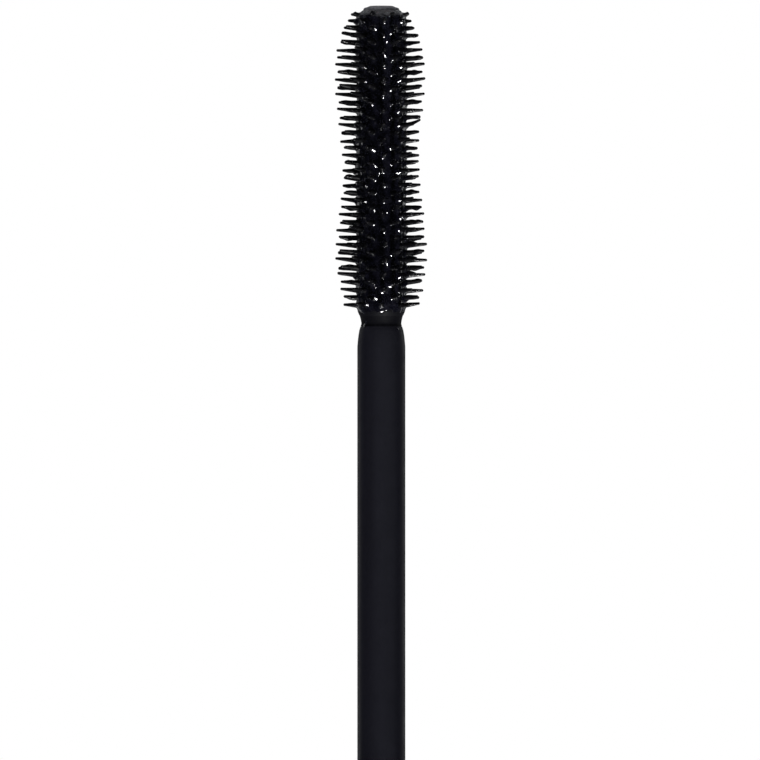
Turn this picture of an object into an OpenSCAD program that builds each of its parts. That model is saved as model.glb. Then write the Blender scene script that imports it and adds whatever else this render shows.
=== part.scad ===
// Mascara tube with its screw-in applicator, drawn out of the tube and held above the mouth.
// Millimetres. Z is the axis of the whole pack and Z = 0 is the face that it stands on.

/* [Tube] */
// Outside radius of the tube and of the cap
outer_r = 8.5; // [6:0.1:12]
// Height of the shoulder that the cap's rim closes onto
shoulder_z = 71; // [50:0.5:100]
// Wall of the decorative sleeve
sleeve_wall = 0.8; // [0.4:0.05:1.5]
// Wall of the bottle that holds the mascara
bottle_wall = 1; // [0.6:0.05:2]
// Underside of the bottle
bottle_z = 4; // [2:0.1:10]
// Thickness of the weight in the base
weight_t = 2.5; // [0.5:0.1:3]
// Height of the metal collar at the shoulder
collar_h = 1.5; // [1:0.1:4]
// Radius of the channel that the brush leaves in the mascara
paste_r = 4.4; // [3.9:0.1:6]
// Top of the mascara on the bottle's wall
paste_z = 62; // [20:1:66]

/* [Neck and thread] */
// Outside radius of the neck
neck_r = 5.7; // [4.5:0.1:7]
// Bore radius of the neck
neck_bore_r = 4.7; // [3.5:0.1:6]
// Height of the neck's rim
neck_z = 83.7; // [75:0.1:110]
// Crest radius of the neck's thread
crest_r = 6.5; // [5:0.1:8]
// Pitch of the single-start thread
pitch = 2.1; // [1.5:0.05:3]
// Turns of each rib of the thread
turns = 1.5; // [1:0.25:2.5]
// Crest radius of the cap's inner thread
nut_crest_r = 5.95; // [5:0.05:7]
// Radius of the wall that carries the cap's inner thread
nut_r = 6.75; // [6:0.05:8]

/* [Wiper] */
// Bore radius of the wiper's sleeve
wiper_bore_r = 4.1; // [3.8:0.05:4.5]
// Radius of the wiping lip, which just clears the stem
lip_r = 2.05; // [1.5:0.01:3]
// Thickness of the wiper's flange over the neck's rim
flange_t = 0.78; // [0.4:0.02:1.5]

/* [Cap] */
// Length of the closed pack
closed_h = 121.3; // [100:0.1:150]
// Wall of the outer cap
cap_wall = 0.9; // [0.6:0.05:2]
// Gap between the cap's rim and the shoulder
rim_gap = 0.3; // [0.1:0.05:1]
// Height of the metal ring at the cap's rim
trim_h = 2.5; // [1:0.1:6]
// Thickness of the loose sealing washer
liner_t = 1; // [0.5:0.05:2]
// Ribs that the outer cap is pressed over
cap_ribs = 16; // [8:1:24]

/* [Stem] */
// Radius of the stem
stem_r = 2; // [1.5:0.05:2.5]
// Distance from the brush's end to the stem's shoulder
stem_s = 26.68; // [20:0.02:40]
// Gap under the brush when the pack is closed
tip_gap = 1; // [0.5:0.1:5]

/* [Brush] */
// Radius of the brush between its bristles
core_r = 2.04; // [1.5:0.01:3]
// Rings of bristles
rings = 40; // [20:1:60]
// Bristles in each ring
bristles = 8; // [6:1:14]
// Distance between two rings
ring_step = 0.624; // [0.4:0.001:1.2]
// Distance from the brush's end to the first ring
ring_start = 0.65; // [0.5:0.005:2]
// Radius of a bristle's foot
foot_r = 0.25; // [0.1:0.005:0.4]
// Radius of a bristle's end
end_r = 0.11; // [0.03:0.005:0.2]
// Lean of the bristles towards the brush's end, in degrees
lean = 4; // [0:1:15]
// Mean radius over the bristles
brush_r = 3.5; // [3:0.01:4]
// Half the difference between the brush's bulges and its waist
bulge = 0.27; // [0:0.01:0.6]
// Turn of the brush about its axis, in degrees
brush_turn = -4; // [-22:0.5:22]

/* [Pose] */
// How far the applicator is drawn out of the closed tube
drawn = 85.5; // [0:0.5:120]

/* [Hidden] */
$fn = 64;
fit = 0.05;
skin = 0.02;
chamfer = 0.4;
sleeve_r = outer_r - sleeve_wall;
bottle_r = sleeve_r - fit;
bottle_in_r = bottle_r - bottle_wall;
bottle_floor = bottle_z + bottle_wall;
bottle_top = shoulder_z - 1;
plug_flange = 0.9;
plug_r = sleeve_r - 0.04;
plug_floor = 1.3;
rim_z = shoulder_z + rim_gap;
cap_r = outer_r - cap_wall;
end_t = 0.97;
end_z = closed_h - end_t - 0.03;
wiper_z = neck_z + skin;
flange_z = wiper_z + flange_t;
liner_z = flange_z + fit;
seat_z = liner_z + liner_t + fit;
head_z = seat_z + 10;
boss_r = 3.05;
tip_z = bottle_floor + tip_gap;
thread_z = 77.65;
nut_z = thread_z - pitch / 2;
thread_half = 0.52;
crest_half = 0.24;
thread_step = 6;
socket_r = 1.05;
rod_r = 1.1;
spigot = 7.2;
sleeve_start = 0.5;
sleeve_end = 25.25;
first_ring_in = 0.13;

// Radius over the bristle ends at a distance s from the brush's end: two bulges with a waist between,
// drawn in at both ends.
function wave(s) = brush_r + bulge * cos(360 * (s - 6.2) / 14.8);
function front(s) = s < 5 ? sqrt(1 - pow((5 - s) / 5.9, 2)) : 1;
function back(s) = s > 21 ? sqrt(1 - pow((s - 21) / 9.5, 2)) : 1;
function brush_at(s) = wave(s) * front(s) * back(s);

// Distance of a ring from the brush's end. The first ring stands a little closer to the second.
function ring_at(k) = ring_start + k * ring_step + (k == 0 ? first_ring_in : 0);

module turned(points) {
  rotate_extrude($fn = 96)
    polygon(points);
}

// A raised rib on a right-handed helix. Its crest rises from the wall and sinks back into it.
module thread(root_r, top_r, sweep) {
  count = ceil(sweep / thread_step);
  fade = 45;
  angles = [for (i = [0:count]) i * sweep / count];
  rise = [for (a = angles) min(1, 0.12 + a / fade, 0.12 + (sweep - a) / fade)];
  points = [
    for (i = [0:count])
      let (a = angles[i], k = rise[i], z = pitch * a / 360, t = root_r + (top_r - root_r) * k)
      for (q = [[root_r, -thread_half], [t, -crest_half], [t, crest_half], [root_r, thread_half]])
        [q[0] * cos(a), q[0] * sin(a), z + q[1] * (q[0] == t ? 1 : k)]
  ];
  sides = [
    for (i = [0:count - 1])
      for (j = [0:3])
        let (a = 4 * i + j, b = 4 * i + (j + 1) % 4)
        for (f = [[a, b, b + 4], [a, b + 4, a + 4]])
          f
  ];
  last = 4 * count;
  ends = [[0, 2, 1], [0, 3, 2], [last, last + 1, last + 2], [last, last + 2, last + 3]];
  faces = concat(sides, ends);
  flipped = [for (f = faces) [f[2], f[1], f[0]]];
  polyhedron(points = points, faces = top_r > root_r ? faces : flipped, convexity = 6);
}

// The plug that closes the sleeve and holds the weight. Its foot is a flat ring.
module base_plug() {
  color("#18181b")
    turned([
      [0, 0.3],
      [5.2, 0.3],
      [5.2, 0],
      [outer_r - chamfer, 0],
      [outer_r, chamfer],
      [outer_r, plug_flange],
      [plug_r, plug_flange],
      [plug_r, bottle_z - 0.1],
      [plug_r - 0.76, bottle_z - 0.1],
      [plug_r - 0.76, plug_floor],
      [0, plug_floor],
    ]);
}

module base_weight() {
  weight_z = plug_floor + fit;
  weight_r = plug_r - 0.76 - fit;
  color("#8d9095")
    turned([
      [0, weight_z],
      [weight_r - 0.2, weight_z],
      [weight_r, weight_z + 0.2],
      [weight_r, weight_z + weight_t - 0.2],
      [weight_r - 0.2, weight_z + weight_t],
      [0, weight_z + weight_t],
    ]);
}

module outer_sleeve() {
  color("#141417")
    turned([
      [sleeve_r, plug_flange + skin],
      [outer_r, plug_flange + skin],
      [outer_r, shoulder_z - collar_h - skin],
      [sleeve_r, shoulder_z - collar_h - skin],
    ]);
}

// The metal collar that covers the joint between the sleeve and the bottle's shoulder.
module shoulder_collar() {
  boss_z = shoulder_z + 1.2;
  color("#9a9ca1")
    turned([
      [neck_r + fit, bottle_top + 0.03],
      [sleeve_r + 0.04, bottle_top + 0.03],
      [sleeve_r + 0.04, shoulder_z - collar_h],
      [outer_r, shoulder_z - collar_h],
      [outer_r, shoulder_z - 0.2],
      [outer_r - 0.2, shoulder_z],
      [neck_r + 1.2, shoulder_z],
      [neck_r + 1.2, boss_z - 0.2],
      [neck_r + 1, boss_z],
      [neck_r + fit, boss_z],
    ]);
}

// The bottle that holds the mascara, with its threaded neck and a groove for the wiper's bead.
module bottle() {
  bead_z = 74.4;
  groove_z = neck_z - 6.7;
  color("#2a2a2e") {
    turned([
      [0, bottle_z],
      [bottle_r - 0.5, bottle_z],
      [bottle_r, bottle_z + 0.5],
      [bottle_r, bottle_top - 0.8],
      [bottle_r - 0.8, bottle_top],
      [neck_r, bottle_top],
      [neck_r, bead_z],
      [neck_r + 0.5, bead_z + 0.15],
      [neck_r + 0.5, bead_z + 0.45],
      [neck_r, bead_z + 0.6],
      [neck_r, neck_z - 0.3],
      [neck_r - 0.3, neck_z],
      [neck_bore_r, neck_z],
      [neck_bore_r, groove_z + 0.55],
      [neck_bore_r + 0.15, groove_z + 0.4],
      [neck_bore_r + 0.15, groove_z - 0.4],
      [neck_bore_r, groove_z - 0.55],
      [neck_bore_r, bottle_top - 0.4],
      [neck_bore_r + 0.6, bottle_top - 1],
      [bottle_in_r - 0.5, bottle_top - 1],
      [bottle_in_r, bottle_top - 1.5],
      [bottle_in_r, bottle_floor + 0.5],
      [bottle_in_r - 0.5, bottle_floor],
      [0, bottle_floor],
    ]);
    translate([0, 0, thread_z])
      thread(neck_r - 0.2, crest_r, 360 * turns);
  }
}

// The soft insert that wipes the brush. Its lip is drawn relaxed, round the stem.
module wiper() {
  wiper_r = neck_bore_r - 0.04;
  bead_z = neck_z - 6.7;
  lip_z = bottle_top + 0.2;
  color("#d9dadd")
    turned([
      [lip_r, lip_z],
      [lip_r + 0.4, lip_z],
      [lip_r + 0.6, lip_z + 1.4],
      [wiper_r, lip_z + 5],
      [wiper_r, bead_z - 0.5],
      [wiper_r + 0.14, bead_z - 0.3],
      [wiper_r + 0.14, bead_z + 0.3],
      [wiper_r, bead_z + 0.5],
      [wiper_r, wiper_z],
      [neck_r - 0.2, wiper_z],
      [neck_r - 0.2, flange_z - 0.2],
      [neck_r - 0.4, flange_z],
      [wiper_bore_r + 0.2, flange_z],
      [wiper_bore_r, flange_z - 0.2],
      [wiper_bore_r, lip_z + 5.4],
      [lip_r, lip_z + 1.5],
    ]);
}

// The mascara left on the bottle's wall, with the channel that the brush has cut.
module mascara_paste() {
  paste_out_r = bottle_in_r - fit;
  paste_floor = bottle_floor + 0.06;
  color("#050506")
    turned([
      [0, paste_floor],
      [paste_out_r - 0.5, paste_floor],
      [paste_out_r, paste_floor + 0.5],
      [paste_out_r, paste_z],
      [paste_out_r - 1.1, paste_z - 0.7],
      [paste_r, paste_z - 2.4],
      [paste_r, paste_floor + 0.84],
      [paste_r - 0.3, paste_floor + 0.54],
      [0, paste_floor + 0.54],
    ]);
}

// The loose washer that seals the wiper's flange while the cap turns over it.
module cap_liner() {
  color("#e4e4e2")
    translate([0, 0, drawn])
      turned([
        [stem_r + 0.1, liner_z],
        [nut_r - 0.3, liner_z],
        [nut_r - 0.25, liner_z + 0.05],
        [nut_r - 0.25, liner_z + liner_t - 0.05],
        [nut_r - 0.3, liner_z + liner_t],
        [stem_r + 0.1, liner_z + liner_t],
      ]);
}

// The threaded cap that holds the stem. Its bead keeps the washer in.
module inner_cap() {
  skirt_z = shoulder_z + 1.6;
  skirt_r = cap_r - 0.3;
  top_z = head_z + 0.4;
  floor_z = seat_z + 2.4;
  snap_z = seat_z + 3.9;
  bead_z = liner_z - 0.15;
  color("#232327")
    translate([0, 0, drawn]) {
      turned([
        [nut_r + 0.25, skirt_z],
        [skirt_r, skirt_z],
        [skirt_r, top_z],
        [skirt_r - 0.8, top_z],
        [skirt_r - 0.8, floor_z],
        [boss_r + 1.55, floor_z],
        [boss_r + 1.55, head_z - 0.6],
        [boss_r, head_z - 0.6],
        [boss_r, snap_z + 0.5],
        [boss_r - 0.27, snap_z + 0.2],
        [boss_r - 0.27, snap_z - 0.2],
        [boss_r, snap_z - 0.5],
        [boss_r, seat_z + 1.05],
        [boss_r + 0.4, seat_z + 1.05],
        [boss_r + 0.4, seat_z],
        [nut_r, seat_z],
        [nut_r, bead_z],
        [nut_r - 0.4, bead_z - 0.1],
        [nut_r - 0.4, bead_z - 0.5],
        [nut_r, bead_z - 0.7],
        [nut_r, skirt_z + 0.6],
      ]);
      translate([0, 0, nut_z])
        thread(nut_r + 0.2, nut_crest_r, 360 * turns);
      for (i = [0:cap_ribs - 1])
        rotate([0, 0, 360 * i / cap_ribs])
          translate([skirt_r - 0.3, -0.35, skirt_z + 1.4])
            cube([0.55, 0.7, top_z - skirt_z - 3.4]);
    }
}

module cap_trim_ring() {
  ring_r = cap_r + 0.02;
  color("#9a9ca1")
    translate([0, 0, drawn])
      turned([
        [ring_r, rim_z],
        [outer_r - 0.2, rim_z],
        [outer_r, rim_z + 0.2],
        [outer_r, rim_z + trim_h],
        [ring_r + 0.34, rim_z + trim_h],
        [ring_r + 0.34, rim_z + trim_h + 2],
        [ring_r, rim_z + trim_h + 2],
      ]);
}

module outer_cap() {
  wall_z = rim_z + trim_h + 0.03;
  roof_z = end_z - 1.4;
  color("#141417")
    translate([0, 0, drawn])
      turned([
        [outer_r - 0.5, wall_z],
        [outer_r, wall_z],
        [outer_r, closed_h - chamfer],
        [outer_r - chamfer, closed_h],
        [cap_r + 0.05, closed_h],
        [cap_r + 0.05, end_z],
        [0, end_z],
        [0, roof_z],
        [cap_r - 0.3, roof_z],
        [cap_r, roof_z - 0.3],
        [cap_r, wall_z + 2.02],
        [outer_r - 0.5, wall_z + 2.02],
      ]);
}

module cap_end_disc() {
  disc_z = end_z + 0.03;
  color("#9a9ca1")
    translate([0, 0, drawn])
      turned([
        [0, disc_z],
        [cap_r, disc_z],
        [cap_r, closed_h - 0.15],
        [cap_r - 0.15, closed_h],
        [0, closed_h],
      ]);
}

// The stem, with a snap head in the inner cap and a socket for the brush's spigot.
module stem() {
  foot_z = tip_z + stem_s + skin;
  flange = seat_z + skin;
  neck_top = flange + 0.98;
  snap_z = seat_z + 3.9;
  head_r = boss_r - fit;
  socket_z = foot_z + spigot + 0.2;
  color("#1c1c21")
    translate([0, 0, drawn])
      turned([
        [socket_r, foot_z],
        [stem_r - 0.27, foot_z],
        [stem_r - 0.17, foot_z + 0.3],
        [stem_r - 0.1, foot_z + 0.7],
        [stem_r - 0.05, foot_z + 1.1],
        [stem_r, foot_z + 1.7],
        [stem_r, flange],
        [head_r + 0.4, flange],
        [head_r + 0.4, neck_top],
        [head_r, neck_top],
        [head_r, snap_z - 0.6],
        [head_r - 0.3, snap_z - 0.3],
        [head_r - 0.3, snap_z + 0.3],
        [head_r, snap_z + 0.6],
        [head_r, head_z - 0.3],
        [head_r - 0.3, head_z],
        [0, head_z],
        [0, socket_z],
        [socket_r, socket_z],
      ]);
}

// The stiff core of the brush, with the nub at its end and the spigot that plugs into the stem.
module brush_core() {
  nub_r = 1.5;
  waist_r = stem_r - 0.33;
  color("#464648")
    translate([0, 0, drawn + tip_z])
      turned([
        [0, 0.1],
        [0.22, 0.1],
        [0.28, 0],
        [0.95, 0],
        [1.14, 0.08],
        [1.42, 0.17],
        [nub_r, 0.27],
        [nub_r, sleeve_start - skin],
        [rod_r, sleeve_start - skin],
        [rod_r, sleeve_end + skin],
        [stem_r, sleeve_end + skin],
        [1.96, 25.48],
        [1.875, 25.68],
        [1.79, 25.84],
        [1.71, 26.15],
        [waist_r, 26.38],
        [waist_r, 26.5],
        [waist_r + 0.05, stem_s],
        [socket_r - fit, stem_s],
        [socket_r - fit, stem_s + spigot - 0.3],
        [socket_r - fit - 0.3, stem_s + spigot],
        [0, stem_s + spigot],
      ]);
}

// One moulded bristle, standing on the sleeve at a distance s from the brush's end.
module bristle(s) {
  root = core_r - 0.5;
  reach = (brush_at(s) - root) / cos(lean);
  translate([root, 0, s])
    rotate([0, 90 + lean, 0])
      cylinder(r1 = foot_r, r2 = end_r, h = reach, $fn = 16);
}

// The soft sleeve moulded over the core. Each ring of bristles stands between those of the next ring.
module bristle_sleeve() {
  color("#08080a")
    translate([0, 0, drawn + tip_z]) {
      turned([
        [rod_r + 0.03, sleeve_start],
        [1.68, sleeve_start],
        [1.92, sleeve_start + 0.16],
        [core_r, sleeve_start + 0.5],
        [core_r, sleeve_end],
        [rod_r + 0.03, sleeve_end],
      ]);
      for (k = [0:rings - 1])
        for (i = [0:bristles - 1])
          rotate([0, 0, brush_turn + 360 * (i + ((k + 1) % 2) / 2) / bristles])
            bristle(ring_at(k));
    }
}

base_plug();
base_weight();
outer_sleeve();
shoulder_collar();
bottle();
wiper();
mascara_paste();
cap_liner();
inner_cap();
cap_trim_ring();
outer_cap();
cap_end_disc();
stem();
brush_core();
bristle_sleeve();
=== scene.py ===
import math
import random

import bpy
import numpy as np
from mathutils import Matrix, Vector, noise


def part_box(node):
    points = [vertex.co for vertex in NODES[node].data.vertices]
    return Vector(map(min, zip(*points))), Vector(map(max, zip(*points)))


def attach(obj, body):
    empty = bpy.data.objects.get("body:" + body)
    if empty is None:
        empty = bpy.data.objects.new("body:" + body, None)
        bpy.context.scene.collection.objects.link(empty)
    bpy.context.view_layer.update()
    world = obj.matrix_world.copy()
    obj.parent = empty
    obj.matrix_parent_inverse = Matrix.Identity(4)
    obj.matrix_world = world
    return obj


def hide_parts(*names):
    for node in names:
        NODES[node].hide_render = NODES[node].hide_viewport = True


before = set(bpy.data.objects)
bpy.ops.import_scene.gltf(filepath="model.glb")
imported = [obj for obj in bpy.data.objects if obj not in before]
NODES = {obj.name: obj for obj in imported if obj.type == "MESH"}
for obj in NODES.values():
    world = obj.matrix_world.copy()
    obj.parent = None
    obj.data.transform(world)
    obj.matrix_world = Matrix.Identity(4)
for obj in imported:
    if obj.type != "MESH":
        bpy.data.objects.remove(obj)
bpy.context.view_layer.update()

MM = 0.001
UM = 0.001 * MM
RNG = random.Random(4117)

# The brush's end, and the sleeve's start and end in millimetres from there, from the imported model.
TIP = Vector((0, 0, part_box("brush_core")[0].z))
SLEEVE_LOW, SLEEVE_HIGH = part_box("bristle_sleeve")
SLEEVE_START = (SLEEVE_LOW.z - TIP.z) / MM
SLEEVE_END = (SLEEVE_HIGH.z - TIP.z) / MM

# ---------------------------------------------------------------- materials

# Colours, as linear red, green and blue.
LACQUER_BLACK = (0.009, 0.009, 0.011)
PLUG_BLACK = (0.012, 0.012, 0.014)
PLUG_BLACK_HIGH = (0.02, 0.02, 0.022)
PLASTIC_BLACK = (0.014, 0.014, 0.017)
PLASTIC_BLACK_HIGH = (0.024, 0.024, 0.027)
STEM_CHARCOAL = (0.0042, 0.0042, 0.0066)
MASCARA_BLACK = (0.0015, 0.0015, 0.002)
# Pale grey for rare patches in the mascara, and painted light where the film lies on the nub.
PALE_MASCARA_AND_NUB_LIGHT = (0.035, 0.035, 0.038)
# Painted light: the nub's grey stands for light falling on its end from above.
NUB_GREY_PAINTED_LIGHT = (0.088, 0.088, 0.096)
TRIM_METAL = (0.33, 0.33, 0.345)
DISC_METAL = (0.24, 0.24, 0.252)
STEEL = (0.42, 0.42, 0.43)
WIPER_GREY = (0.24, 0.24, 0.25)


class Shader:
    """A Principled material with helpers for the procedural detail on it."""

    def __init__(self, name, color, roughness, **sockets):
        self.material = bpy.data.materials.new(name)
        self.material.use_nodes = True
        self.tree = self.material.node_tree
        self.shader = self.tree.nodes["Principled BSDF"]
        self.set("Base Color", (*color, 1))
        self.set("Roughness", roughness)
        for socket, value in sockets.items():
            self.set(socket.replace("_", " "), value)
        self.coord = self.node("ShaderNodeTexCoord").outputs["Object"]
        self.normal = None

    def set(self, socket, value):
        self.shader.inputs[socket].default_value = value

    def node(self, kind, **fields):
        made = self.tree.nodes.new(kind)
        for field, value in fields.items():
            setattr(made, field, value)
        return made

    def link(self, out, into):
        self.tree.links.new(out, into)

    def stretched(self, x, y, z):
        """Object coordinates, scaled along each axis."""
        mapping = self.node("ShaderNodeMapping")
        mapping.inputs["Scale"].default_value = (x, y, z)
        self.link(self.coord, mapping.inputs["Vector"])
        return mapping.outputs["Vector"]

    def noise(self, scale, detail=4, vector=None, rough=0.55):
        made = self.node("ShaderNodeTexNoise")
        made.inputs["Scale"].default_value = scale
        made.inputs["Detail"].default_value = detail
        made.inputs["Roughness"].default_value = rough
        self.link(vector or self.coord, made.inputs["Vector"])
        return made.outputs["Fac"]

    def cells(self, scale):
        """Distance from the middle of small cells."""
        made = self.node("ShaderNodeTexVoronoi")
        made.inputs["Scale"].default_value = scale
        self.link(self.coord, made.inputs["Vector"])
        return made.outputs["Distance"]

    def mapped(self, value, low, high, to_low, to_high):
        """Takes the range from low to high into the range from to_low to to_high."""
        made = self.node("ShaderNodeMapRange")
        set_range(made, low, high, to_low, to_high)
        self.link(value, made.inputs["Value"])
        return made.outputs["Result"]

    def combine(self, operation, a, b):
        """A sum or product of two values, each an output or a number."""
        made = self.node("ShaderNodeMath", operation=operation)
        for socket, value in zip(made.inputs, (a, b)):
            if isinstance(value, (int, float)):
                socket.default_value = value
            else:
                self.link(value, socket)
        return made.outputs["Value"]

    def axis(self, name):
        split = self.node("ShaderNodeSeparateXYZ")
        self.link(self.coord, split.inputs["Vector"])
        return split.outputs[name]

    def radial(self):
        """Distance from the pack's axis."""
        flat = self.stretched(1, 1, 0)
        length = self.node("ShaderNodeVectorMath", operation="LENGTH")
        self.link(flat, length.inputs[0])
        return length.outputs["Value"]

    def vary_color(self, value, low_color, high_color, low=0.35, high=0.65):
        ramp = self.node("ShaderNodeValToRGB")
        ramp.color_ramp.elements[0].position = low
        ramp.color_ramp.elements[0].color = (*low_color, 1)
        ramp.color_ramp.elements[1].position = high
        ramp.color_ramp.elements[1].color = (*high_color, 1)
        self.link(value, ramp.inputs["Fac"])
        self.link(ramp.outputs["Color"], self.shader.inputs["Base Color"])
        return ramp

    def vary_roughness(self, value, low, high, start=0.3, stop=0.7):
        self.link(self.mapped(value, start, stop, low, high), self.shader.inputs["Roughness"])

    def bump(self, height, strength, distance):
        """Adds a bump on top of those before it."""
        made = self.node("ShaderNodeBump")
        made.inputs["Strength"].default_value = strength
        made.inputs["Distance"].default_value = distance
        self.link(height, made.inputs["Height"])
        if self.normal is not None:
            self.link(self.normal, made.inputs["Normal"])
        self.normal = made.outputs["Normal"]
        self.link(self.normal, self.shader.inputs["Normal"])


def set_range(node, low, high, to_low, to_high):
    for socket, value in zip(("From Min", "From Max", "To Min", "To Max"), (low, high, to_low, to_high)):
        node.inputs[socket].default_value = value


def scaled(color, factor):
    return tuple(min(1, c * factor) for c in color)


def elastomer():
    """The bristles: black rubber, wet in patches and matt in others."""
    s = Shader("elastomer_wet", MASCARA_BLACK, 0.14, Specular_IOR_Level=0.12)
    s.vary_color(s.noise(900, 3), (0.0006, 0.0006, 0.0009), (0.0026, 0.0026, 0.0032))
    s.vary_roughness(s.noise(1300, 2), 0.1, 0.5, 0.4, 0.6)
    s.bump(s.noise(5200, 3), 0.5, 40 * UM)
    return s


def product(name, painted_light_on_nub=False):
    """Wet mascara, dark with paler patches; where it has run onto the nub at the brush's end it is painted a
    lighter grey, a painted light like the nub's own.
    """
    s = Shader(name, MASCARA_BLACK, 0.1, Specular_IOR_Level=0.62)
    pale_patches = s.noise(1400, 4)
    # Painted light: near the brush's end the film takes the nub's lighter grey, as if lit from above.
    if painted_light_on_nub:
        nub_painted_light = s.mapped(s.axis("Z"), TIP.z + 0.5 * MM, TIP.z + 1.2 * MM, 0.5, 0)
        pale_patches = s.combine("ADD", pale_patches, nub_painted_light)
    ramp = s.vary_color(pale_patches, (0.0007, 0.0007, 0.0016), (0.003, 0.003, 0.0052))
    ramp.color_ramp.elements.new(0.95).color = (*PALE_MASCARA_AND_NUB_LIGHT, 1)
    s.vary_roughness(s.noise(2400, 5), 0.04, 0.18)
    s.bump(s.noise(3400, 3), 0.5, 50 * UM)
    s.bump(s.noise(7000, 2), 0.4, 30 * UM)
    return s


def satin(name, color, high_color, roughness=(0.38, 0.5)):
    """Moulded black plastic with a satin skin, faint flow lines along the axis and fine grain."""
    s = Shader(name, color, roughness[0], Specular_IOR_Level=0.45)
    s.vary_color(s.noise(160, 3, s.stretched(1, 1, 0.12)), color, high_color, 0.3, 0.7)
    s.vary_roughness(s.noise(700, 4, s.stretched(1, 1, 0.3)), *roughness)
    s.bump(s.noise(2600, 2, s.stretched(1, 1, 0.02)), 0.12, 20 * UM)
    s.bump(s.noise(9000, 3), 0.1, 10 * UM)
    return s


def lacquer(name, color):
    """Deep gloss lacquer: a slight orange peel, and faint wiping marks in its gloss."""
    s = Shader(name, color, 0.1, Coat_Weight=0.8, Coat_Roughness=0.03, Specular_IOR_Level=0.5)
    s.vary_color(s.noise(60, 3), color, scaled(color, 1.5))
    s.vary_roughness(s.noise(220, 5, s.stretched(1, 1, 0.35)), 0.06, 0.2)
    s.bump(s.noise(420, 2), 0.05, 30 * UM)
    return s


def brushed(name, color, around=True):
    """Dark anodised metal, brushed round its axis, or spun into fine rings on an end face."""
    s = Shader(name, color, 0.42, Metallic=1.0)
    if around:
        grain = s.noise(1.0, 6, s.stretched(120, 120, 16000), 0.7)
    else:
        rings = s.node("ShaderNodeCombineXYZ")
        s.link(s.combine("MULTIPLY", s.radial(), 9000), rings.inputs["X"])
        s.link(s.combine("MULTIPLY", s.axis("X"), 90), rings.inputs["Y"])
        s.link(s.combine("MULTIPLY", s.axis("Y"), 90), rings.inputs["Z"])
        grain = s.noise(1.0, 5, rings.outputs["Vector"], 0.7)
    s.vary_color(grain, scaled(color, 0.78), scaled(color, 1.2))
    s.vary_roughness(grain, 0.34, 0.52)
    s.bump(grain, 0.22, 12 * UM)
    return s


def stem_plastic():
    """The stem: satin charcoal with faint lines down its length."""
    s = Shader("stem_satin", STEM_CHARCOAL, 0.46, Specular_IOR_Level=0.1)
    streaks = s.noise(900, 3, s.stretched(1, 1, 0.03))
    s.vary_color(streaks, (0.0036, 0.0035, 0.0056), (0.0048, 0.0047, 0.0074), 0.3, 0.7)
    s.vary_roughness(s.noise(520, 4), 0.42, 0.52)
    s.bump(s.noise(2400, 2, s.stretched(1, 1, 0.012)), 0.1, 20 * UM)
    s.bump(s.noise(8000, 3), 0.12, 12 * UM)
    return s


def core_plastic():
    """The brush's core, matt: its nub's end is painted light grey as if lit from above, and it darkens along
    its length to a near-black collar, a painted shade, under the film of mascara.
    """
    s = Shader("core_matt", (0.08, 0.08, 0.088), 0.6, Specular_IOR_Level=0.05)
    # Painted light and shade: grey at the nub's end as if lit from above, fading to a painted shade of near
    # black towards the collar.
    place = s.mapped(s.axis("Z"), TIP.z, TIP.z + 20 * MM, 0, 1)
    speckle = s.mapped(s.noise(4200, 4), 0.3, 0.7, -0.01, 0.01)
    ramp = s.vary_color(s.combine("ADD", place, speckle), NUB_GREY_PAINTED_LIGHT, (0.0012, 0.0012, 0.002), 0.004, 0.6)
    ramp.color_ramp.elements.new(0.018).color = (0.034, 0.034, 0.038, 1)
    s.vary_roughness(s.noise(2600, 4), 0.55, 0.7)
    s.bump(s.noise(6500, 4), 0.3, 30 * UM)
    return s


def wiper_plastic():
    """Pale soft plastic, with mascara left on the lip and streaked up its bore."""
    s = Shader("wiper_soft", WIPER_GREY, 0.42, Subsurface_Weight=0.15, Subsurface_Scale=MM)
    inside = s.mapped(s.radial(), 4 * MM, 5 * MM, 1, 0)
    streak = s.noise(700, 5, s.stretched(1, 1, 0.25))
    stain = s.combine("MULTIPLY", s.combine("MULTIPLY", inside, 1.5), streak)
    s.vary_color(stain, WIPER_GREY, (0.006, 0.006, 0.007), 0.34, 0.5)
    s.vary_roughness(streak, 0.3, 0.5)
    s.bump(s.noise(1500, 4), 0.2, 30 * UM)
    return s


def foam():
    """The sealing washer: white foam with fine cells."""
    s = Shader("liner_foam", (0.72, 0.72, 0.7), 0.8)
    cells = s.cells(5200)
    s.vary_color(cells, (0.55, 0.55, 0.53), (0.78, 0.78, 0.76), 0.1, 0.6)
    s.vary_roughness(s.noise(900), 0.7, 0.9)
    s.bump(cells, 0.5, 60 * UM)
    return s


def dress(name, shader):
    """Gives a CAD node one material."""
    data = NODES[name].data
    data.materials.clear()
    data.materials.append(shader.material)


dress("stem", stem_plastic())
dress("brush_core", core_plastic())
dress("outer_sleeve", lacquer("sleeve_lacquer", LACQUER_BLACK))
dress("outer_cap", lacquer("cap_lacquer", LACQUER_BLACK))
dress("base_plug", satin("plug_satin", PLUG_BLACK, PLUG_BLACK_HIGH))
dress("bottle", satin("bottle_satin", PLASTIC_BLACK, PLASTIC_BLACK_HIGH, (0.3, 0.45)))
dress("inner_cap", satin("inner_cap_satin", PLASTIC_BLACK, PLASTIC_BLACK_HIGH, (0.3, 0.45)))
dress("shoulder_collar", brushed("collar_metal", TRIM_METAL))
dress("cap_trim_ring", brushed("trim_metal", TRIM_METAL))
dress("cap_end_disc", brushed("disc_metal", DISC_METAL, around=False))
dress("base_weight", brushed("weight_steel", STEEL, around=False))
dress("wiper", wiper_plastic())
dress("mascara_paste", product("paste_wet"))
dress("cap_liner", foam())

# ---------------------------------------------------------------- the brush

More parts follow.
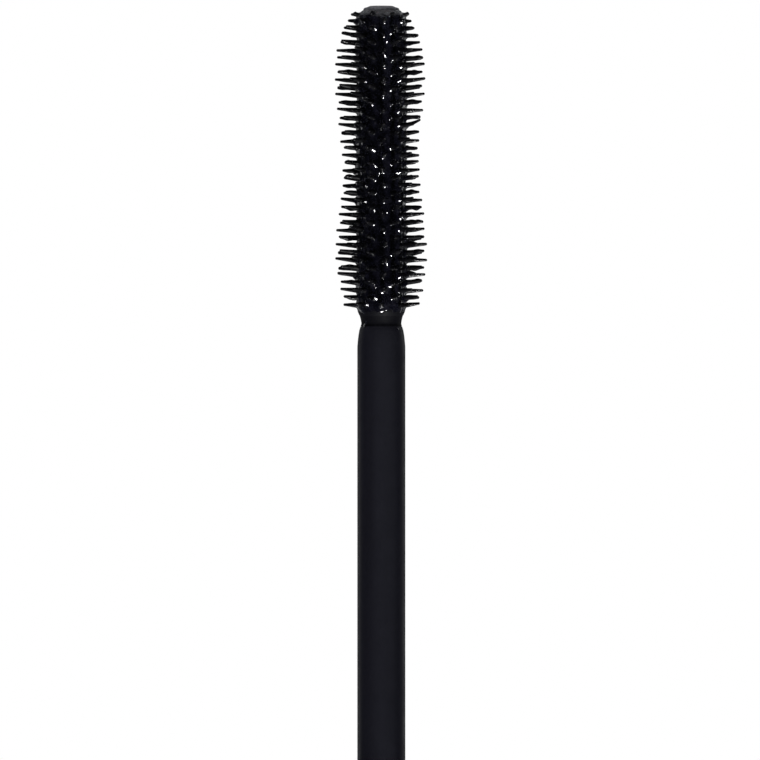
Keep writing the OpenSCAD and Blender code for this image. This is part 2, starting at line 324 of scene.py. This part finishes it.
# The brush as the CAD source makes it, in millimetres, with s measured from the brush's end.
BRUSH_R = 3.5
BULGE = 0.27
FIRST_BULGE_AT = 6.2
BULGE_TO_BULGE = 14.8
# Where its two ends begin to round in, and how much further on each would close to a point.
FRONT_FROM, FRONT_TO_POINT = 5, 5.9
BACK_FROM, BACK_TO_POINT = 21, 9.5
# The sleeve between the bristles, and the rings of bristles on it. Each ring is turned half a place.
SLEEVE_R = 2.04
RINGS = 40
PER_RING = 8
RING_STEP = 0.624
RING_START = 0.65
FIRST_RING_IN = 0.13
BRUSH_TURN = math.radians(-4)
LEAN = math.radians(4)

# A bristle: where it starts inside the sleeve, its half thickness at its foot and end, and its sides.
ROOT_R = 1.54
FOOT_R = 0.28
END_R = 0.105
BRISTLE_SIDES = 12
# The one bristle that is bent towards the brush's end, as (ring, place round it), and its end's shift in s.
BENT = {(15, 4): -0.45}
# Shares of a bristle's length at which it has a ring of points.
STATIONS = (0, 0.1, 0.2, 0.3, 0.4, 0.5, 0.6, 0.68, 0.76, 0.83, 0.89, 0.94, 0.975)
# Its rounded end, as (distance past the last station, width), and its point, in shares of the width there.
ROUND_END = ((0.35, 0.8), (0.62, 0.42))
END_POINT = 0.72


def brush_radius(s):
    """Radius over the bristle ends at s millimetres from the brush's end."""
    r = BRUSH_R + BULGE * math.cos(2 * math.pi * (s - FIRST_BULGE_AT) / BULGE_TO_BULGE)
    if s < FRONT_FROM:
        r *= math.sqrt(1 - ((FRONT_FROM - s) / FRONT_TO_POINT) ** 2)
    if s > BACK_FROM:
        r *= math.sqrt(1 - ((s - BACK_FROM) / BACK_TO_POINT) ** 2)
    return r


def first_rings(k):
    """How much longer every other ring is near the brush's end."""
    return 1 + (0.07 * max(0, 1 - k / 8) if k % 2 == 0 else 0)


def uneven(s, angle):
    """How much further out than an even bristle one reaches, because a real brush isn't quite even."""
    towards_x = 0.13 * math.cos(angle) / (1 + math.exp((s - 12.3) / 0.5))
    slimmer_waist = 0.08 * math.exp(-(((s - 11) / 2) ** 2))
    fuller_bulge = 0.05 * math.exp(-(((s - 19.3) / 2.2) ** 2))
    return towards_x - slimmer_waist + fuller_bulge


def bristle_places():
    """Each bristle's place and shape, with the small differences of a wet brush, and its bead of mascara."""
    for k in range(RINGS):
        s = RING_START + k * RING_STEP + (FIRST_RING_IN if k == 0 else 0)
        radius = brush_radius(s) * first_rings(k)
        beads = 0.6 if k % 2 == 0 else 0
        for i in range(PER_RING):
            turn = BRUSH_TURN + 2 * math.pi * (i + ((k + 1) % 2) / 2) / PER_RING
            yield {
                "angle": turn + RNG.gauss(0, 0.012),
                "s": s + RNG.gauss(0, 0.02),
                "reach": radius - ROOT_R + uneven(s, turn) + radius * RNG.gauss(0, 0.008),
                "lean": LEAN + RNG.gauss(0, 0.024),
                "swing": RNG.gauss(0, 0.06),
                "bend": RNG.gauss(0, 0.03) + BENT.get((k, i), 0),
                "bead": max(0, RNG.gauss(beads, 0.35)),
                "bead_at": RNG.uniform(0.58, 0.88),
                "bead_side": RNG.uniform(0, 2 * math.pi),
            }


BRISTLES = list(bristle_places())


def mesh_object(name, vertices, faces, shader):
    """A smooth-shaded mesh with one material."""
    data = bpy.data.meshes.new(name)
    data.from_pydata(vertices, [], faces)
    data.validate()
    data.update()
    data.polygons.foreach_set("use_smooth", [True] * len(data.polygons))
    data.materials.append(shader.material)
    made = bpy.data.objects.new(name, data)
    bpy.context.scene.collection.objects.link(made)
    return made


def bristle_axis(b, t):
    """The point on a bristle's axis at share t of its length, before the bristle is turned to its angle."""
    along = b["reach"] * t
    lift = -math.tan(b["lean"]) * along + b["bend"] * t * t
    return Vector((ROOT_R + along, b["swing"] * along, b["s"] + lift))


def bristle_width(t):
    """Half thickness of a bristle at share t of its length."""
    return END_R + (FOOT_R - END_R) * (1 - t) ** 1.1


def bead_height(b, t, a):
    """Height of the bead of mascara that clings to one side of a bristle, at angle a round the bristle."""
    side = 0.5 + 0.5 * math.cos(a - b["bead_side"])
    return 0.13 * b["bead"] * side * math.exp(-(((t - b["bead_at"]) / 0.15) ** 2))


def bristles():
    """All bristles, each a leaning cone with a rounded end."""
    last = STATIONS[-1]
    rings = [(t, 0, 1) for t in STATIONS] + [(last, ahead, share) for ahead, share in ROUND_END]
    vertices, faces = [], []
    for b in BRISTLES:
        turn = Matrix.Rotation(b["angle"], 4, "Z")
        base = len(vertices)
        for t, ahead, share in rings:
            width = bristle_width(t)
            centre = bristle_axis(b, t) + Vector((ahead * width, 0, 0))
            for j in range(BRISTLE_SIDES):
                a = 2 * math.pi * j / BRISTLE_SIDES
                w = (width + bead_height(b, t, a)) * share
                vertices.append(turn @ (centre + Vector((0, w * math.cos(a), w * math.sin(a)))))
        point = bristle_axis(b, last) + Vector((END_POINT * bristle_width(last), 0, 0))
        vertices.append(turn @ point)
        tip = len(vertices) - 1
        for low in range(base, tip - BRISTLE_SIDES, BRISTLE_SIDES):
            high = low + BRISTLE_SIDES
            for j in range(BRISTLE_SIDES):
                n = (j + 1) % BRISTLE_SIDES
                faces.append((low + j, low + n, high + n, high + j))
        top = tip - BRISTLE_SIDES
        for j in range(BRISTLE_SIDES):
            faces.append((top + j, top + (j + 1) % BRISTLE_SIDES, tip))
        faces.append(tuple(base + j for j in reversed(range(BRISTLE_SIDES))))
    return [TIP + v * MM for v in vertices], faces


# The outline that the film of mascara lies on, as (s, radius): nub, sleeve, collar and the stem's foot.
SKIN = (
    (0.2, 1.42),
    (0.27, 1.5),
    (0.49, 1.5),
    (0.52, 1.72),
    (0.66, 1.92),
    (1.0, 2.0),
    (25.2, 2.0),
    (25.48, 1.96),
    (25.68, 1.875),
    (25.84, 1.79),
    (26.15, 1.71),
    (26.38, 1.67),
    (26.5, 1.67),
    (26.68, 1.73),
    (26.98, 1.83),
    (27.38, 1.9),
    (27.78, 1.95),
    (28.38, 2.0),
)
FILM_START = 0.24
FILM_END = 27.9
FILM_AROUND = 168
FILM_STEP = 0.085
# The film's height over the outline: usual, at its edges, least and most, and its inside's depth under it.
FILM_THICK = 0.03
FILM_EDGE = -0.03
FILM_LEAST = -0.06
FILM_MOST = 1
FILM_UNDER = 0.09
# The inside of the film's mesh: round the core's rod, and round the nub at the sleeve's and film's starts.
ROD_R = 1.14
NUB_R = 1.4
NUB_END_R = 1.36
# A fillet at a bristle's foot: how far off its bristle it may be, and ranges of height, width and length.
FILLET_OFF_ALONG = 0.12
FILLET_OFF_ROUND = 0.14
FILLET = ((0.1, 0.44), (0.18, 0.34), (0.16, 0.3))
LUMPS = 500
LUMP_START, LUMP_END = 1, 24.9
LUMP = ((0.03, 0.14), (0.12, 0.24), (0.12, 0.26))
# Chosen mounds, as (s, angle, height, width, length): smears on the stem's foot, the collar and the nub, and
# three webs of mascara between bristles on one side. Width is round the brush, and length along it.
MOUNDS = (
    (26.66, -0.62, 0.13, 0.55, 0.26),
    (26.25, -0.75, 0.13, 0.4, 0.34),
    (26.9, -2.45, 0.16, 0.25, 0.16),
    (26.7, 1.1, 0.18, 0.6, 0.3),
    (27.2, 2.2, 0.15, 0.2, 0.22),
    (0.47, 0.05, 0.17, 0.2, 0.09),
    (0.45, 3.1, 0.16, 0.16, 0.09),
    (19.76, 3.14, 0.88, 0.42, 0.25),
    (21.0, 3.14, 0.94, 0.42, 0.25),
    (22.25, 3.14, 0.86, 0.4, 0.23),
)


def skin(s):
    return np.interp(s, [p[0] for p in SKIN], [p[1] for p in SKIN])


def angle_between(a, b):
    return (a - b + np.pi) % (2 * np.pi) - np.pi


def mound(along, round_it, height, width, length):
    """A smooth mound, at distances along the brush and round it from the mound's middle."""
    return height * np.exp(-((along / length) ** 2) - (round_it / width) ** 2)


def rough(s, a):
    """Two octaves of noise over the surface, with features about half a millimetre wide."""
    out = np.zeros((len(s), len(a)))
    for i in range(len(s)):
        for j in range(len(a)):
            p = Vector((math.cos(a[j]) * 2.0, math.sin(a[j]) * 2.0, s[i])) * 1.9
            out[i, j] = noise.noise(p) + 0.5 * noise.noise(p * 2.3)
    return out


def film_height(s, a):
    """Height of the film over SKIN at each s and angle: fillets at the bristles' feet, lumps and mounds."""
    grid_s, grid_a = np.meshgrid(s, a, indexing="ij")
    height = np.zeros_like(grid_s)
    for b in BRISTLES:
        along = grid_s - b["s"] - RNG.uniform(-FILLET_OFF_ALONG, FILLET_OFF_ALONG)
        off_round = RNG.uniform(-FILLET_OFF_ROUND, FILLET_OFF_ROUND)
        round_it = angle_between(grid_a, b["angle"]) * SLEEVE_R - off_round
        shape = [RNG.uniform(*span) for span in FILLET]
        height = np.maximum(height, mound(along, round_it, *shape))
    for _ in range(LUMPS):
        at_s = RNG.uniform(LUMP_START, LUMP_END)
        at_a = RNG.uniform(0, 2 * math.pi)
        shape = [RNG.uniform(*span) for span in LUMP]
        height += mound(grid_s - at_s, angle_between(grid_a, at_a) * SLEEVE_R, *shape)
    # How far a point is onto the sleeve: 0 at its ends, 1 from 0.3 mm in, and below 0 past the ends.
    inside = np.clip(np.minimum(grid_s - SLEEVE_START, SLEEVE_END - grid_s) / 0.3, -3, 1)
    height = height * np.clip(inside, 0, 1) + 0.05 * rough(s, a)
    height += FILM_THICK + np.where(inside < 0, 0.05 * inside, 0)
    for at_s, at_a, *shape in MOUNDS:
        height += mound(grid_s - at_s, angle_between(grid_a, at_a) * SLEEVE_R, *shape)
    # The film's two edges go under the outline.
    edge = np.minimum(grid_s - FILM_START, FILM_END - grid_s) / 0.12
    height = np.where(edge < 1, np.minimum(height, FILM_EDGE), height)
    return np.clip(height, FILM_LEAST, FILM_MOST)


def sleeve_surface():
    """The sleeve between the bristles, under a lumpy wet film that runs out over nub, collar and stem."""
    s = np.linspace(FILM_START, FILM_END, int((FILM_END - FILM_START) / FILM_STEP))
    a = np.arange(FILM_AROUND) * 2 * np.pi / FILM_AROUND
    radius = skin(s)[:, None] + film_height(s, a)
    vertices = [
        TIP + Vector((radius[i, j] * math.cos(a[j]), radius[i, j] * math.sin(a[j]), s[i])) * MM
        for i in range(len(s))
        for j in range(FILM_AROUND)
    ]
    # The inside: just under the outline past the sleeve's end, and round the core's rod in the sleeve.
    past_end = [FILM_END] + [p[0] for p in reversed(SKIN) if SLEEVE_END < p[0] < FILM_END] + [SLEEVE_END]
    under = [(z, float(skin(z)) - FILM_UNDER) for z in past_end]
    under += [(SLEEVE_END, ROD_R), (SLEEVE_START, ROD_R), (SLEEVE_START, NUB_R), (FILM_START, NUB_END_R)]
    for z, r in under:
        vertices += [TIP + Vector((r * math.cos(x), r * math.sin(x), z)) * MM for x in a]
    rows = len(s) + len(under)
    faces = []
    for i in range(rows):
        low, high = i * FILM_AROUND, (i + 1) % rows * FILM_AROUND
        for j in range(FILM_AROUND):
            n = (j + 1) % FILM_AROUND
            faces.append((low + j, low + n, high + n, high + j))
    return vertices, faces


wet = product("film_wet", painted_light_on_nub=True)
rubber = elastomer()
film = mesh_object("brush_sleeve", *sleeve_surface(), wet)
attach(film, "applicator")
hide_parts("bristle_sleeve")
spikes = mesh_object("brush_bristles", *bristles(), rubber)
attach(spikes, "applicator")
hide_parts("bristle_sleeve")

# ---------------------------------------------------------------- stage

FLOOR_R = 0.5
FLOOR_AROUND = 96
FLOOR_RINGS = 12
# The floor is a hair under the pack's foot, and fades out between these distances.
FLOOR_Z = -20 * UM
FLOOR_FADE = (0.22, 0.46)


def floor():
    """A pale round floor that fades into the white surroundings."""
    vertices = [Vector((0, 0, 0))]
    faces = []
    for r in range(1, FLOOR_RINGS + 1):
        for j in range(FLOOR_AROUND):
            a = 2 * math.pi * j / FLOOR_AROUND
            vertices.append(Vector((math.cos(a), math.sin(a), 0)) * FLOOR_R * r / FLOOR_RINGS)
    for j in range(FLOOR_AROUND):
        faces.append((0, 1 + j, 1 + (j + 1) % FLOOR_AROUND))
    for r in range(FLOOR_RINGS - 1):
        low, high = 1 + r * FLOOR_AROUND, 1 + (r + 1) * FLOOR_AROUND
        for j in range(FLOOR_AROUND):
            n = (j + 1) % FLOOR_AROUND
            faces.append((low + j, high + j, high + n, low + n))
    s = Shader("floor_pale", (0.82, 0.82, 0.82), 0.9)
    s.vary_color(s.noise(30, 3), (0.8, 0.8, 0.8), (0.84, 0.84, 0.84))
    s.link(s.mapped(s.radial(), *FLOOR_FADE, 1, 0), s.shader.inputs["Alpha"])
    made = mesh_object("floor", vertices, faces, s)
    made.location.z = FLOOR_Z
    made.visible_glossy = False
    return made


def softbox(name, place, target, size, power, color=(1, 1, 1)):
    """A rectangular light at a place, aimed at a target."""
    data = bpy.data.lights.new(name, "AREA")
    data.shape = "RECTANGLE"
    data.size, data.size_y = size
    data.energy = power
    data.color = color
    made = bpy.data.objects.new(name, data)
    bpy.context.scene.collection.objects.link(made)
    made.location = place
    made.rotation_mode = "QUATERNION"
    made.rotation_quaternion = (Vector(target) - made.location).to_track_quat("-Z", "Y")
    return made


def light_only(light, pieces):
    """Keeps a light to the pieces given."""
    lit = bpy.data.collections.new("lit_by_" + light.name)
    for piece in pieces:
        lit.objects.link(piece)
    light.light_linking.receiver_collection = lit


# The picture's height at the brush, the white past the brush's end, and the camera's lens and place.
FRAME_H = 63.33 * MM
ABOVE_BRUSH = 0.5 * MM
MID_Z = TIP.z - ABOVE_BRUSH + FRAME_H / 2
LENS, SENSOR = 480.0, 36.0
DISTANCE = FRAME_H * LENS / SENSOR
CAMERA_X = 0.11 * MM
BRUSH_MIDDLE = (0, 0, MID_Z)
PACK_MIDDLE = (0, 0, 0.1)
EDGE_SIZE = (0.06, 0.5)
STRIP_SIZE = (0.13, 1.1)

ground = floor()
stem = NODES["stem"]
brush_pieces = [stem, NODES["brush_core"], film, spikes]
pack_pieces = [piece for piece in NODES.values() if piece not in brush_pieces]
all_but_stem = [piece for piece in [*NODES.values(), film, spikes, ground] if piece != stem]

key = softbox("key", (-0.11, -0.27, MID_Z + 0.4), BRUSH_MIDDLE, (0.09, 0.09), 6.2)
fill = softbox("fill", (0.42, -0.22, 0.25), PACK_MIDDLE, (0.3, 0.4), 1.6)
fill.visible_glossy = False
overhead = softbox("overhead", (0, 0, 0.8), (0, 0, 0), (0.8, 0.8), 1.5)
overhead.data.spread = math.radians(50)

# The edge lights reach the brush and stem alone.
left_edge = softbox("left_edge", (0.26, 0.26, MID_Z), BRUSH_MIDDLE, EDGE_SIZE, 0.12)
light_only(left_edge, brush_pieces)
right_edge = softbox("right_edge", (-0.26, 0.26, MID_Z), BRUSH_MIDDLE, EDGE_SIZE, 0.14)
light_only(right_edge, brush_pieces)

# The cap would shade the stem from the key light, so the stem has a low wide one instead.
light_only(key, all_but_stem)
stem_front = softbox("stem_front", (-0.11, -0.36, MID_Z), BRUSH_MIDDLE, (1.3, 0.3), 1.95, (0.82, 0.84, 1))
light_only(stem_front, [stem])

# Two tall soft lights show the gloss of the pack round the brush.
front_strip = softbox("front_strip", (-0.35, -0.2, 0.1), PACK_MIDDLE, STRIP_SIZE, 0.92)
light_only(front_strip, pack_pieces)
back_strip = softbox("back_strip", (0.35, 0.2, 0.1), PACK_MIDDLE, STRIP_SIZE, 0.73)
light_only(back_strip, pack_pieces)


def surroundings():
    """White to the camera, and to everything else a dim room that is brighter behind the object."""
    world = bpy.data.worlds.new("studio")
    bpy.context.scene.world = world
    world.use_nodes = True
    nodes, links = world.node_tree.nodes, world.node_tree.links
    nodes.clear()
    out = nodes.new("ShaderNodeOutputWorld")
    mix = nodes.new("ShaderNodeMixShader")
    path = nodes.new("ShaderNodeLightPath")
    seen = nodes.new("ShaderNodeBackground")
    seen.inputs["Color"].default_value = (1, 1, 1, 1)
    dim = nodes.new("ShaderNodeBackground")
    dim.inputs["Color"].default_value = (0.9, 0.95, 1.0, 1)
    direction = nodes.new("ShaderNodeTexCoord")
    split = nodes.new("ShaderNodeSeparateXYZ")
    backdrop = nodes.new("ShaderNodeMapRange")
    set_range(backdrop, -0.1, 0.9, 0.01, 0.2)
    links.new(direction.outputs["Generated"], split.inputs["Vector"])
    links.new(split.outputs["Y"], backdrop.inputs["Value"])
    links.new(backdrop.outputs["Result"], dim.inputs["Strength"])
    links.new(path.outputs["Is Camera Ray"], mix.inputs["Fac"])
    links.new(dim.outputs["Background"], mix.inputs[1])
    links.new(seen.outputs["Background"], mix.inputs[2])
    links.new(mix.outputs["Shader"], out.inputs["Surface"])


surroundings()

camera_data = bpy.data.cameras.new("camera")
camera_data.lens = LENS
camera_data.sensor_width = SENSOR
camera_data.clip_start = 0.005
camera_data.clip_end = 20
camera = bpy.data.objects.new("camera", camera_data)
bpy.context.scene.collection.objects.link(camera)
camera.location = (CAMERA_X, -DISTANCE, MID_Z)
# The brush points down into the tube and the photograph shows it pointing up, so the camera is upside down.
camera.rotation_euler = (math.radians(90), math.radians(180), 0)
bpy.context.scene.camera = camera
bpy.context.scene.view_settings.view_transform = "Standard"
bpy.context.scene.view_settings.look = "None"
